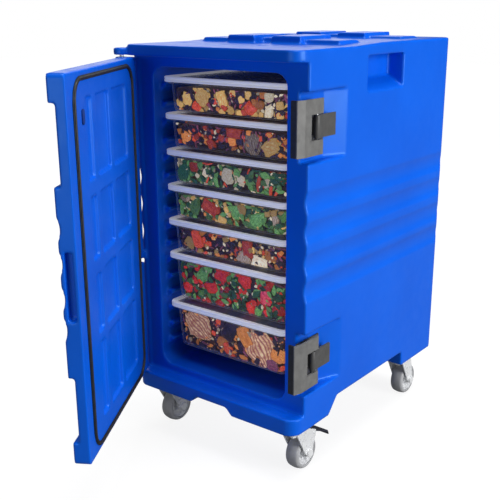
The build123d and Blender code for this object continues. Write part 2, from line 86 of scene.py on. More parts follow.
# Softboxes: place, width, and power in W
SOFTBOXES = {
    "side_softbox": ((3.15, 0.35, 1.3), 1.8, 104),
    "front_softbox": ((0.45, -3.2, 0.75), 1.4, 16),
    "back_softbox": ((-2.3, 2.7, 1.7), 2.4, 24),
}

# Floor: how far it reaches, and its glow as a light and as the camera sees it
FLOOR_REACH = 12
FLOOR_GLOW = (0.05, 0.88)

# Painted light: glow on the food and on the lid rims, which brightens them beyond what the lamps
# give; it stands for the light that wet, thin food and milky plastic pass on inside
FOOD_GLOW = 0.6
LID_GLOW = 0.17

# Moulded skin: voxels of its remesh, passes of smoothing, and triangles kept
FINE_VOXEL = 0.0028
SOFTENING = 3
SKIN_TRIANGLES = 190_000

# Gasket: outer corner radius, width, height of the foot, radius of the bead
GASKET_CORNER = 0.0425
GASKET_WIDTH = 0.009
GASKET_FOOT = 0.0025
GASKET_BEAD = 0.0026

# Wheels: the tyre's depth, its shoulders' radius and their fall below the tread, and the fall of
# the tread from its middle to its edge; the hub's ribs, the half width of its dish, what a rib
# adds to that, and the radius where the boss begins
TYRE_THICK = 0.01
TYRE_SHOULDER = 0.007
TYRE_SHOULDER_FALL = 0.0012
TYRE_CROWN = 0.004
HUB_RIBS = 5
HUB_DISH = 0.0055
HUB_RIB_HEIGHT = 0.0065
HUB_BOSS = 0.0125

# Pans: the deep ones come last; the flange stands out by FLANGE_OVERHANG at the sides and ends
PAN_COUNT = 7
FIRST_DEEP_PAN = 6
TUB_TAPER = math.tan(math.radians(5))
TUB_CORNER = 0.024
TUB_WALL = 0.0025
LID_CORNER = 0.021
FLANGE_OVERHANG = (0.007, 0.0085)
FLANGE_THICK = 0.003

# Loose food.  Each layer is (depth behind the tub's wall, how many morsels a shallow pan gets),
# a morsel lies up to LAYER_THICK deeper than that, and one with a longer half side than
# FINE_MORSEL, in millimetres, is made from the finer ball.
MORSEL_LAYERS = ((0.0008, 130), (0.0035, 120))
LAYER_THICK = 0.003
DEEP_PAN_SHARE = 1.6
MORSEL_SCALES = (0.42, 0.85)
WALL_GAP = 0.0004
FINE_MORSEL = 16
LUMP_SCALE = 1.7
LUMP_HEIGHT = 0.3


# ---------------------------------------------------------------- finishes

class Finish:
    """A Principled material, with short ways to add the nodes that vary it."""

    def __init__(self, name, colour, roughness, **sockets):
        self.material = bpy.data.materials.new(name)
        self.material.use_nodes = True
        self.tree = self.material.node_tree
        self.shader = self.tree.nodes["Principled BSDF"]
        self.shader.inputs["Base Color"].default_value = (*colour, 1)
        self.shader.inputs["Roughness"].default_value = roughness
        for socket, value in sockets.items():
            self.shader.inputs[socket.replace("_", " ")].default_value = value
        self.place = self.add("ShaderNodeTexCoord").outputs["Object"]
        self.normal = None

    def add(self, kind, **settings):
        node = self.tree.nodes.new(kind)
        for key, value in settings.items():
            setattr(node, key, value)
        return node

    def feed(self, socket, output):
        self.tree.links.new(output, self.shader.inputs[socket])

    def read(self, name):
        """A value stored on the mesh."""
        return self.add("ShaderNodeAttribute", attribute_name=name).outputs

    def noise(self, scale, detail=2.0, rough=0.5, stretch=None, place=None):
        node = self.add("ShaderNodeTexNoise")
        node.inputs["Scale"].default_value = scale
        node.inputs["Detail"].default_value = detail
        node.inputs["Roughness"].default_value = rough
        source = place or self.place
        if stretch:
            mapping = self.add("ShaderNodeMapping")
            mapping.inputs["Scale"].default_value = stretch
            self.tree.links.new(source, mapping.inputs["Vector"])
            source = mapping.outputs["Vector"]
        self.tree.links.new(source, node.inputs["Vector"])
        return node.outputs["Fac"]

    def remap(self, value, low, high, start=0.3, end=0.7):
        """Carries start..end over to low..high."""
        node = self.add("ShaderNodeMapRange")
        limits = {"From Min": start, "From Max": end, "To Min": low, "To Max": high}
        for socket, number in limits.items():
            node.inputs[socket].default_value = number
        self.tree.links.new(value, node.inputs["Value"])
        return node.outputs["Result"]

    def mix(self, share, first, second):
        """Colour between two; each is a colour or an output."""
        node = self.add("ShaderNodeMix", data_type="RGBA")
        self.tree.links.new(share, node.inputs["Factor"])
        for socket, value in ((node.inputs[6], first), (node.inputs[7], second)):
            if isinstance(value, tuple):
                socket.default_value = (*value, 1)
            else:
                self.tree.links.new(value, socket)
        return node.outputs[2]

    def bump(self, height, strength, distance):
        node = self.add("ShaderNodeBump")
        node.inputs["Strength"].default_value = strength
        node.inputs["Distance"].default_value = distance
        self.tree.links.new(height, node.inputs["Height"])
        if self.normal:
            self.tree.links.new(self.normal, node.inputs["Normal"])
        self.normal = node.outputs["Normal"]
        self.feed("Normal", self.normal)

    def mottle(self, scale, detail, dark, light):
        """Colour that drifts between two."""
        self.feed("Base Color", self.mix(self.remap(self.noise(scale, detail), 0, 1), dark, light))

    def rub(self, scale, detail, low, high, rough=0.5):
        """Roughness that drifts between two."""
        self.feed("Roughness", self.remap(self.noise(scale, detail, rough), low, high))

    def grain(self, scale, detail, strength, distance, stretch=None):
        """Fine relief."""
        self.bump(self.noise(scale, detail, stretch=stretch), strength, distance)


def moulded_blue():
    """Rotomoulded polyethylene: satin, faintly wavy walls with a fine orange-peel grain."""
    f = Finish("blue_polyethylene", (0.0, 0.105, 0.7), 0.36, Specular_Tint=(0.35, 0.7, 1.0, 1))
    f.mottle(5, 3, (0.0, 0.096, 0.66), (0.0, 0.114, 0.74))
    f.rub(38, 4, 0.31, 0.43, 0.6)
    f.grain(7, 1, 0.25, 0.0016)
    f.grain(420, 2, 0.12, 0.0004)
    return f.material


def moulded_nylon(name, dark, light):
    """Glass-filled nylon: grey with a spark-eroded grain and rubbed lighter patches."""
    f = Finish(name, light, 0.5)
    f.mottle(60, 4, dark, light)
    f.rub(160, 3, 0.42, 0.58)
    f.grain(1500, 2, 0.2, 0.0003)
    return f.material


def black_rubber():
    f = Finish("black_rubber", (0.012, 0.012, 0.013), 0.5)
    f.mottle(90, 3, (0.009, 0.009, 0.01), (0.02, 0.02, 0.021))
    f.rub(300, 2, 0.4, 0.6)
    f.grain(900, 2, 0.15, 0.0003)
    return f.material


def vent_plastic():
    """Dark blue breather plug."""
    f = Finish("vent_plastic", (0.0, 0.03, 0.2), 0.5)
    f.mottle(150, 3, (0.0, 0.022, 0.16), (0.0, 0.04, 0.26))
    f.grain(700, 2, 0.15, 0.0003)
    return f.material


def pedal_plastic():
    f = Finish("pedal_plastic", (0.012, 0.014, 0.03), 0.42)
    f.mottle(120, 3, (0.01, 0.012, 0.026), (0.02, 0.022, 0.04))
    f.grain(900, 2, 0.2, 0.0003)
    return f.material


def zinc_plate():
    """Bright zinc plating: slightly blue, with faint drawing marks and dull patches."""
    f = Finish("zinc_plating", (0.88, 0.89, 0.9), 0.3, Metallic=0.25)
    f.mottle(45, 4, (0.82, 0.83, 0.84), (0.93, 0.94, 0.95))
    f.rub(70, 5, 0.2, 0.42, 0.65)
    f.grain(260, 3, 0.12, 0.0003, (1, 1, 0.15))
    return f.material


def turned_steel():
    f = Finish("turned_steel", (0.5, 0.51, 0.53), 0.3, Metallic=1.0)
    f.rub(120, 4, 0.22, 0.4)
    f.grain(500, 2, 0.15, 0.0002, (0.1, 0.1, 1))
    return f.material


def tyre_rubber():
    f = Finish("tyre_rubber", (0.42, 0.425, 0.44), 0.36)
    f.mottle(70, 4, (0.37, 0.375, 0.39), (0.46, 0.465, 0.48))
    f.rub(110, 3, 0.36, 0.52)
    f.grain(600, 3, 0.2, 0.0004)
    return f.material


def hub_plastic():
    f = Finish("hub_plastic", (0.66, 0.67, 0.69), 0.36)
    f.mottle(80, 3, (0.6, 0.61, 0.63), (0.72, 0.73, 0.75))
    f.grain(700, 2, 0.15, 0.0003)
    return f.material


def clear_plastic():
    """Clear polycarbonate: see-through face on, bright along its edges."""
    f = Finish("clear_polycarbonate", (0.85, 0.88, 0.9), 0.07, IOR=1.5)
    f.rub(55, 4, 0.04, 0.16)
    f.grain(60, 1, 0.1, 0.0006)
    clear = f.add("ShaderNodeBsdfTransparent")
    clear.inputs["Color"].default_value = (0.97, 0.98, 0.985, 1)
    edge = f.add("ShaderNodeLayerWeight")
    mixed = f.add("ShaderNodeMixShader")
    f.tree.links.new(f.remap(edge.outputs["Facing"], 0.015, 0.75, 0.5, 1), mixed.inputs[0])
    f.tree.links.new(clear.outputs[0], mixed.inputs[1])
    f.tree.links.new(f.shader.outputs[0], mixed.inputs[2])
    f.tree.links.new(mixed.outputs[0], f.tree.nodes["Material Output"].inputs["Surface"])
    return f.material


def lid_plastic():
    """Milky polypropylene rim, with painted light: it glows at LID_GLOW so that its front band, which
    the lamps leave dim, looks bright.
    """
    f = Finish("lid_polypropylene", (0.92, 0.92, 0.92), 0.34)
    f.mottle(24, 3, (0.9, 0.9, 0.9), (0.95, 0.95, 0.95))
    f.rub(90, 3, 0.28, 0.42)
    # painted light: the rim glows white
    f.shader.inputs["Emission Color"].default_value = (1, 1, 1, 1)
    f.shader.inputs["Emission Strength"].default_value = LID_GLOW
    f.grain(500, 2, 0.08, 0.0003)
    return f.material


def lid_panel():
    """The thin grey middle of a lid, half see-through; its mid-grey stands partly for the shade in the
    narrow space between the stacked pans.
    """
    f = Finish("lid_panel", (0.2, 0.21, 0.23), 0.22, Alpha=0.8)
    f.mottle(30, 4, (0.4, 0.41, 0.43), (0.56, 0.57, 0.59))
    f.rub(70, 3, 0.16, 0.34)
    f.grain(300, 2, 0.1, 0.0003)
    return f.material


def food_finish(name, dark, light, roughness, ring=None):
    """Cooked or cut food: each morsel has its own tone, mottling and wet grain, with painted shade
    where others crowd it, and it glows in its own colour as painted light."""
    f = Finish(name, light, roughness, Specular_IOR_Level=0.5)
    tone = f.read("tone")["Fac"]
    own = f.read("own")["Vector"]
    colour = f.mix(f.remap(f.noise(3.2, 4, 0.7, place=own), 0, 1, 0.35, 0.65), dark, light)
    if ring:
        rings = f.add("ShaderNodeTexWave", wave_type="RINGS", rings_direction="Z")
        rings.inputs["Scale"].default_value = 1.1
        rings.inputs["Distortion"].default_value = 3.0
        f.tree.links.new(own, rings.inputs["Vector"])
        colour = f.mix(f.remap(rings.outputs["Fac"], 0, 0.8, 0.35, 0.8), colour, ring)
    shade = f.mix(f.remap(tone, 0, 0.7, 0.1, 1), colour, (0.01, 0.008, 0.008))
    # painted shade: darker where other morsels crowd it, from ambient occlusion over 6 mm
    painted_crevice_shade = f.add("ShaderNodeAmbientOcclusion", samples=6, only_local=True)
    painted_crevice_shade.inputs["Distance"].default_value = 0.006
    shade = f.mix(f.remap(painted_crevice_shade.outputs["AO"], 0.9, 0, 0.3, 0.85), shade, (0.008, 0.006, 0.008))
    f.feed("Base Color", shade)
    # painted light: the food glows in its own colour at FOOD_GLOW
    f.feed("Emission Color", shade)
    f.shader.inputs["Emission Strength"].default_value = FOOD_GLOW
    f.bump(f.noise(9, 5, 0.6, place=own), 0.5, 0.0012)
    return f.material


# ---------------------------------------------------------------- mesh helpers

def new_piece(name, points, faces, body, finishes, indices=None):
    """A smooth mesh that rides on a body; indices give each face's finish."""
    mesh = bpy.data.meshes.new(name)
    mesh.from_pydata([tuple(p) for p in points], [], faces)
    piece = bpy.data.objects.new(name, mesh)
    bpy.context.scene.collection.objects.link(piece)
    for finish in finishes:
        mesh.materials.append(finish)
    if indices:
        mesh.polygons.foreach_set("material_index", indices)
    mesh.polygons.foreach_set("use_smooth", [True] * len(mesh.polygons))
    bm = bmesh.new()
    bm.from_mesh(mesh)
    bmesh.ops.recalc_face_normals(bm, faces=bm.faces)
    bm.to_mesh(mesh)
    bm.free()
    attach(piece, body)
    return piece


def bake_modifiers(piece):
    """Keeps what the modifiers make as the piece's own mesh."""
    graph = bpy.context.evaluated_depsgraph_get()
    graph.update()
    mesh = bpy.data.meshes.new_from_object(piece.evaluated_get(graph))
    piece.modifiers.clear()
    piece.data = mesh


def rounded_loop(half_x, half_y, radius, inset, steps=8):
    """Corner points of a rounded rectangle drawn inwards by inset."""
    r = max(radius - inset, 0.0015)
    points = []
    for quarter, (sx, sy) in enumerate(((1, 1), (-1, 1), (-1, -1), (1, -1))):
        centre = (sx * (half_x - inset - r), sy * (half_y - inset - r))
        for k in range(steps + 1):
            angle = (quarter + k / steps) * math.pi / 2
            points.append((centre[0] + r * math.cos(angle), centre[1] + r * math.sin(angle)))
    return points


def sweep_loop(profile, half_x, half_y, radius, closed, steps=8):
    """Profile of (inset, height) points carried round a rounded rectangle.
    An open profile is closed by a flat face at each end."""
    points = []
    for inset, height in profile:
        points += [(x, y, height) for x, y in rounded_loop(half_x, half_y, radius, inset, steps)]
    count = 4 * (steps + 1)
    rows = len(profile)
    faces = []
    for row in range(rows if closed else rows - 1):
        after = (row + 1) % rows
        for k in range(count):
            k2 = (k + 1) % count
            faces.append((row * count + k, row * count + k2, after * count + k2, after * count + k))
    if not closed:
        faces.append(tuple(reversed(range(count))))
        faces.append(tuple(range((rows - 1) * count, rows * count)))
    return points, faces


def lathe(outline, centre, steps=72):
    """Ring about the X axis; outline(angle) gives its (x, radius) points at that angle."""
    points = []
    for k in range(steps):
        angle = 2 * math.pi * k / steps
        for x, r in outline(angle):
            across = r * math.cos(angle)
            up = r * math.sin(angle)
            points.append((centre[0] + x, centre[1] + across, centre[2] + up))
    rows = len(points) // steps
    faces = []
    for k in range(steps):
        k2 = (k + 1) % steps
        for row in range(rows):
            after = (row + 1) % rows
            faces.append((k * rows + row, k * rows + after, k2 * rows + after, k2 * rows + row))
    return points, faces


def arc(centre, radius, start, end, steps):
    """Points of an arc, angles in degrees."""
    spread = [math.radians(start + (end - start) * k / steps) for k in range(steps + 1)]
    return [(centre[0] + radius * math.cos(a), centre[1] + radius * math.sin(a)) for a in spread]


def dress(node, finish):
    """Gives a CAD part its finish."""
    materials = NODES[node].data.materials
    materials.clear()
    materials.append(finish)


def crisp_edges(node, width, finish):
    """Small rounded edges on a CAD part, and its finish."""
    piece = NODES[node]
    piece.modifiers.new("weld", "WELD").merge_threshold = 1e-5
    bevel = piece.modifiers.new("bevel", "BEVEL")
    bevel.width = width
    bevel.segments = 2
    bevel.limit_method = "ANGLE"
    bevel.angle_limit = math.radians(32)
    bevel.harden_normals = True
    dress(node, finish)


# ---------------------------------------------------------------- cabinet and door

def outer_wall(mesh):
    """bmesh of the mesh's largest closed surface, without the sealed wall round the foam."""
    bm = bmesh.new()
    bm.from_mesh(mesh)
    bmesh.ops.remove_doubles(bm, verts=bm.verts, dist=1e-5)
    islands = []
    unseen = set(bm.verts)
    while unseen:
        stack = [unseen.pop()]
        island = []
        while stack:
            vert = stack.pop()
            island.append(vert)
            for edge in vert.link_edges:
                other = edge.other_vert(vert)
                if other in unseen:
                    unseen.remove(other)
                    stack.append(other)
        islands.append(island)
    spans = [max(v.co.z for v in island) - min(v.co.z for v in island) for island in islands]
    keep = islands[spans.index(max(spans))]
    drop = set(bm.verts) - set(keep)
    bmesh.ops.delete(bm, geom=list(drop), context="VERTS")
    return bm


def moulded_skin(body, finish, voxel):
    """The CAD skin with the soft edges that rotational moulding leaves."""
    bm = outer_wall(NODES[f"{body}_shell"].data)
    mesh = bpy.data.meshes.new(f"{body}_skin")
    bm.to_mesh(mesh)
    bm.free()
    piece = bpy.data.objects.new(f"{body}_skin", mesh)
    bpy.context.scene.collection.objects.link(piece)
    remesh = piece.modifiers.new("remesh", "REMESH")
    remesh.mode = "VOXEL"
    remesh.voxel_size = voxel
    smooth = piece.modifiers.new("soften", "SMOOTH")
    smooth.factor = 0.5
    smooth.iterations = SOFTENING
    bake_modifiers(piece)
    thin = piece.modifiers.new("thin", "DECIMATE")
    thin.ratio = SKIN_TRIANGLES / (2 * len(piece.data.polygons))
    bake_modifiers(piece)
    piece.data.materials.clear()
    piece.data.materials.append(finish)
    piece.data.polygons.foreach_set("use_smooth", [True] * len(piece.data.polygons))
    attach(piece, body)
    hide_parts(f"{body}_shell", f"{body}_foam")


def door_swing():
    """Turns closed-door places to where the door stands at rest."""
    joint = next(j for j in frame["joints"] if j["name"] == "door_hinge")
    pivot = Vector(joint["pos_m"])
    turn = Matrix.Rotation(math.radians(-joint["range_deg"][0]), 4, Vector(joint["axis"]))
    return Matrix.Translation(pivot) @ turn @ Matrix.Translation(-pivot)


def closed_box(node, swing):
    """Box of a door part with the door closed."""
    back = swing.inverted()
    points = np.array([back @ v.co for v in NODES[node].data.vertices])
    return Vector(points.min(0)), Vector(points.max(0))


def door_gasket(swing, finish):
    """Bulb seal: a round bead between two thin lips, on a foot in the door's groove."""
    low, high = closed_box("door_gasket", swing)
    half_x = (high.x - low.x) / 2
    half_z = (high.z - low.z) / 2
    foot = GASKET_FOOT
    side = [(0.0015, 0), (0.0015, foot), (0.0002, foot + 0.0004), (0.0004, foot + 0.0012)]
    bead = arc((GASKET_WIDTH / 2, foot + 0.0016), GASKET_BEAD, -40, 220, 14)
    profile = side + [(GASKET_WIDTH - x, y) for x, y in bead if y > foot]
    profile += [(GASKET_WIDTH - x, y) for x, y in reversed(side)]
    profile = [(inset, min(height, high.y - low.y)) for inset, height in profile]
    points, faces = sweep_loop(profile, half_x, half_z, GASKET_CORNER, True, 12)
    middle = (low + high) / 2
    placed = [swing @ Vector((middle.x + x, low.y + h, middle.z + z)) for x, z, h in points]
    piece = new_piece("door_bulb_gasket", placed, faces, "door", [finish])
    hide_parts("door_gasket")


def build_body(rubber):
    voxel = FINE_VOXEL
    blue = moulded_blue()
    for body in ("cabinet", "door"):
        moulded_skin(body, blue, voxel)
    door_gasket(door_swing(), rubber)
    dress("door_vent", vent_plastic())
    dress("hinge_pins", turned_steel())


# ---------------------------------------------------------------- latches and casters

def build_latches(rubber):
    strap = moulded_nylon("strap_nylon", (0.11, 0.11, 0.108), (0.16, 0.16, 0.156))
    # painted shade: the fixed base is a darker copy of the hook's nylon, standing for the shade in the
    # notch round the knuckle
    fixed = moulded_nylon("base_nylon_shaded", (0.05, 0.05, 0.05), (0.075, 0.075, 0.074))
    steel = turned_steel()
    for level in ("upper", "lower"):
        crisp_edges(f"{level}_latch_base", 0.0007, fixed)
        crisp_edges(f"{level}_latch_hook", 0.0008, strap)
        crisp_edges(f"{level}_latch_lip", 0.0008, rubber)
    crisp_edges("latch_pins", 0.0003, steel)
    crisp_edges("latch_screws", 0.0005, steel)


def tyre(corner, finish):
    """Crowned tread between two rounded shoulders, with a shallow groove round each side."""
    low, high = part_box(f"{corner}_tyre")
    half = (high.x - low.x) / 2
    radius = (high.z - low.z) / 2
    bore = radius - TYRE_THICK
    centre = (half - TYRE_SHOULDER, radius - TYRE_SHOULDER - TYRE_SHOULDER_FALL)
    groove = [(half - 0.003, bore), (half - 0.0022, bore + 0.0012)]
    shoulder = arc(centre, TYRE_SHOULDER, -12, 78, 8)
    crown = [(share * half, radius - TYRE_CROWN * share * share) for share in (0.45, 0.25, 0)]
    outline = groove + shoulder + crown
    outline += [(-x, r) for x, r in reversed(outline) if x > 0]
    points, faces = lathe(lambda angle: outline, (low + high) / 2)
    piece = new_piece(f"{corner}_tread", points, faces, f"{corner}_wheel", [finish])
    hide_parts(f"{corner}_tyre")


def hub(corner, finish):
    """Dished wheel centre with a raised rim, ribs, and a boss on the axle."""
    low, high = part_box(f"{corner}_hub")
    half = (high.x - low.x) / 2
    radius = (high.z - low.z) / 2

    def outline(angle):
        rib = max(0.0, math.cos(HUB_RIBS * angle)) ** 6
        dish = HUB_DISH + HUB_RIB_HEIGHT * rib
        rim = [(half - 0.0033, radius), (half - 0.0025, radius - 0.0008)]
        rim += [(half - 0.0025, radius - 0.0032), (half - 0.004, radius - 0.0042)]
        web = [(dish, radius - 0.0065), (dish, HUB_BOSS)]
        boss = [(half - 0.003, 0.0105), (half - 0.0005, 0.0098), (half, 0.009), (half, 0.0062)]
        side = rim + web + boss
        return side + [(-x, r) for x, r in reversed(side)]

    points, faces = lathe(outline, (low + high) / 2, 120)
    piece = new_piece(f"{corner}_wheel_centre", points, faces, f"{corner}_wheel", [finish])
    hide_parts(f"{corner}_hub")


def build_casters():
    zinc = zinc_plate()
    tread = tyre_rubber()
    plastic = hub_plastic()
    dark = pedal_plastic()
    for corner in ("front_left", "front_right", "rear_left", "rear_right"):
        crisp_edges(f"{corner}_fork", 0.0007, zinc)
        crisp_edges(f"{corner}_axle", 0.0006, zinc)
        tyre(corner, tread)
        hub(corner, plastic)
    for side in ("left", "right"):
        crisp_edges(f"front_{side}_brake", 0.0008, dark)
    crisp_edges("caster_plates", 0.0006, zinc)
    crisp_edges("caster_bolts", 0.0005, zinc)


# ---------------------------------------------------------------- pans, lids and food

def build_pan(k, finish):
    """Thin-walled tub with a rolled flange, a rounded floor and clear tapering walls."""
    low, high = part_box(f"pan_{k}")
    half_x = (high.x - low.x) / 2 - FLANGE_OVERHANG[0]
    half_y = (high.y - low.y) / 2 - FLANGE_OVERHANG[1]
    rim = high.z
    depth = rim - low.z
    inner = []
    outer = []
    # share of the depth, and how far the wall has curled in towards the floor there
    for share, curl in ((1, 0.012), (0.985, 0.006), (0.94, 0.0015), (0.86, 0), (0.5, 0), (0.06, 0)):
        inset = depth * share * TUB_TAPER + curl
        outer.append((inset, rim - depth * share))
        inner.append((inset + TUB_WALL, rim - (depth - TUB_WALL) * share))
    edge = -FLANGE_OVERHANG[0]
    below = rim - FLANGE_THICK
    top = [(TUB_WALL, rim - 0.001), (TUB_WALL - 0.001, rim), (edge + 0.001, rim), (edge, rim - 0.001)]
    under = [(edge, below + 0.0005), (edge + 0.0005, below), (0, below)]
    profile = inner + top + under + list(reversed(outer))
    points, faces = sweep_loop(profile, half_x, half_y, TUB_CORNER, False)
    middle = (low + high) / 2
    placed = [(middle.x + x, middle.y + y, z) for x, y, z in points]
    piece = new_piece(f"clear_pan_{k}", placed, faces, f"pan_set_{k}", [finish])
    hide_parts(f"pan_{k}")


def build_lid(k, rim_finish, panel_finish):
    """Press-on lid: a grooved band, a rounded top edge, and a sunk panel with a raised field."""
    low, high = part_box(f"lid_{k}")
    half_x = (high.x - low.x) / 2
    half_y = (high.y - low.y) / 2
    under = [(0.06, 0.0062), (0.0125, 0.006), (0.009, 0.0055), (0.009, 0.0002)]
    band = [(0.0012, 0), (0.0002, 0.0008), (0, 0.0018), (0, 0.0048), (0.0011, 0.0054), (0.0011, 0.006)]
    band += [(0, 0.0066), (0, 0.0094), (0.0005, 0.0105), (0.0016, 0.011)]
    well = [(0.0098, 0.011), (0.0112, 0.0106), (0.0122, 0.009), (0.0134, 0.0079)]
    field = [(0.03, 0.0078), (0.033, 0.009), (0.037, 0.0094), (0.06, 0.0094)]
    profile = under + band + well + field
    points, faces = sweep_loop(profile, half_x, half_y, LID_CORNER, False)
    middle = (low + high) / 2
    placed = [(middle.x + x, middle.y + y, low.z + z) for x, y, z in points]
    # the band and the well's edge are rim; the rest, with the two end faces, is panel
    rim_rows = range(2, len(under) + len(band) + len(well) - 1)
    count = (len(faces) - 2) // (len(profile) - 1)
    indices = [0 if f // count in rim_rows else 1 for f in range(len(faces) - 2)] + [1, 1]
    finishes = [rim_finish, panel_finish]
    piece = new_piece(f"cover_{k}", placed, faces, f"pan_set_{k}", finishes, indices)
    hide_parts(f"lid_{k}")


# Each kind of morsel: half sizes along its three axes in mm, roundness (1 is a ball and less is
# squarer), bend, and how pointed its ends are
MORSELS = {
    "dice": ((9, 8, 6), 0.45, 0.0, 0.0),
    "slab": ((15, 10, 4), 0.4, 0.1, 0.0),
    "slice": ((13, 12, 3), 0.75, 0.1, 0.0),
    "disc": ((37, 36, 5), 0.7, 0.05, 0.0),
    "leaf": ((19, 9, 1.2), 1.0, 0.5, 0.8),
    "strip": ((20, 3.2, 2.2), 0.8, 0.9, 0.3),
    "nut": ((7, 4.5, 3.5), 1.0, 0.2, 0.4),
    "wedge": ((16, 7, 5), 0.9, 0.7, 0.5),
    "berry": ((12, 12, 10), 1.0, 0.0, 0.25),
    "grain": ((2.8, 2.2, 1.8), 1.0, 0.0, 0.2),
}

# Share of each (kind, finish) in a pan's mixture, and a few large pieces placed one by one as
# (kind, finish, place along the front, height in the tub, scale, turn in degrees)
RECIPES = {
    1: (
        {("slice", "squash"): 5, ("dice", "pepper"): 4, ("strip", "cabbage"): 5, ("nut", "cream"): 5,
         ("dice", "aubergine"): 8, ("leaf", "aubergine"): 4, ("dice", "carrot"): 2},
        [("slice", "squash", 0.15, 0.5, 1.1, 80), ("slice", "squash", 0.28, 0.62, 1.45, 10),
         ("dice", "pepper", 0.23, 0.2, 1.35, 30), ("slab", "squash", 0.46, 0.6, 1.1, 70),
         ("dice", "pepper", 0.69, 0.3, 1.7, 50), ("dice", "carrot", 0.77, 0.5, 1.2, 15),
         ("wedge", "cream", 0.84, 0.25, 1.3, 120), ("slice", "cream", 0.85, 0.85, 0.9, 0)],
    ),
    2: (
        {("dice", "pepper"): 4, ("dice", "aubergine"): 7, ("strip", "cabbage"): 9,
         ("slab", "aubergine"): 4, ("nut", "cream"): 2, ("dice", "carrot"): 3},
        [("dice", "carrot", 0.13, 0.45, 1.4, 20), ("dice", "pepper", 0.35, 0.25, 1.2, 60),
         ("slab", "pepper", 0.56, 0.85, 1.3, 5), ("dice", "carrot", 0.54, 0.45, 1.1, 0),
         ("slice", "mushroom", 0.71, 0.5, 1.8, 30), ("slab", "squash", 0.86, 0.4, 1.5, 150)],
    ),
    3: (
        {("leaf", "herb"): 12, ("leaf", "dark_leaf"): 9, ("nut", "cream"): 8, ("strip", "pepper"): 3,
         ("slice", "cream"): 2, ("dice", "carrot"): 1},
        [("slice", "pepper", 0.2, 0.75, 1.0, 160), ("leaf", "dark_leaf", 0.1, 0.4, 1.7, 120),
         ("slice", "cream", 0.5, 0.55, 1.3, 70), ("strip", "pepper", 0.76, 0.4, 1.4, 100),
         ("nut", "cream", 0.84, 0.55, 2.1, 80), ("strip", "pepper", 0.86, 0.2, 1.1, 100)],
    ),
    4: (
        {("leaf", "herb"): 10, ("leaf", "dark_leaf"): 7, ("dice", "squash"): 5, ("nut", "cream"): 5,
         ("dice", "carrot"): 3, ("wedge", "mushroom"): 2},
        [("slab", "pepper", 0.34, 0.6, 1.6, 25), ("leaf", "herb", 0.2, 0.5, 1.5, 110),
         ("slice", "herb", 0.57, 0.6, 1.2, 60), ("leaf", "herb", 0.74, 0.4, 1.7, 140),
         ("dice", "squash", 0.44, 0.15, 1.3, 20), ("wedge", "mushroom", 0.9, 0.5, 1.7, 80),
         ("slice", "squash", 0.62, 0.75, 1.0, 60)],
    ),
    5: (
        {("dice", "aubergine"): 8, ("strip", "cabbage"): 6, ("nut", "cream"): 6, ("dice", "squash"): 4,
         ("dice", "pepper"): 3, ("dice", "carrot"): 3},
        [("slab", "pepper", 0.21, 0.6, 1.2, 75), ("slice", "squash", 0.14, 0.4, 1.1, 40),
         ("slab", "pepper", 0.67, 0.65, 1.3, 80), ("wedge", "carrot", 0.85, 0.55, 1.5, 130),
         ("slab", "cream", 0.77, 0.2, 1.3, 5), ("slice", "mushroom", 0.63, 0.2, 1.3, 30)],
    ),
    6: (
        {("leaf", "herb"): 9, ("leaf", "dark_leaf"): 10, ("berry", "tomato"): 5, ("nut", "cream"): 4,
         ("slice", "tomato"): 4, ("strip", "cabbage"): 2},
        [("berry", "tomato", 0.1, 0.3, 1.6, 20), ("slice", "tomato", 0.44, 0.85, 1.6, 20),
         ("slice", "tomato", 0.64, 0.85, 1.3, 10), ("berry", "berry_red", 0.82, 0.6, 2.4, 10),
         ("berry", "tomato", 0.67, 0.16, 1.4, 0), ("slab", "tomato", 0.33, 0.45, 1.1, 170),
         ("leaf", "herb", 0.26, 0.75, 1.6, 130), ("wedge", "herb", 0.75, 0.15, 1.4, 120),
         ("berry", "tomato", 0.94, 0.3, 1.4, 0)],
    ),
    7: (
        {("grain", "grain"): 24, ("wedge", "carrot"): 6, ("strip", "cabbage"): 4,
         ("slab", "aubergine"): 4, ("nut", "cream"): 5, ("dice", "mushroom"): 3, ("dice", "pepper"): 2},
        [("disc", "grain", 0.2, 0.66, 0.95, 0), ("disc", "grain", 0.77, 0.52, 1.1, 20),
         ("wedge", "carrot", 0.41, 0.35, 1.9, 130), ("wedge", "pepper", 0.47, 0.2, 1.6, 60),
         ("slab", "carrot", 0.64, 0.7, 1.7, 60), ("slice", "carrot", 0.93, 0.45, 1.4, 20),
         ("slab", "aubergine", 0.5, 0.75, 1.8, 120), ("slice", "cabbage", 0.87, 0.15, 1.2, 0)],
    ),
}


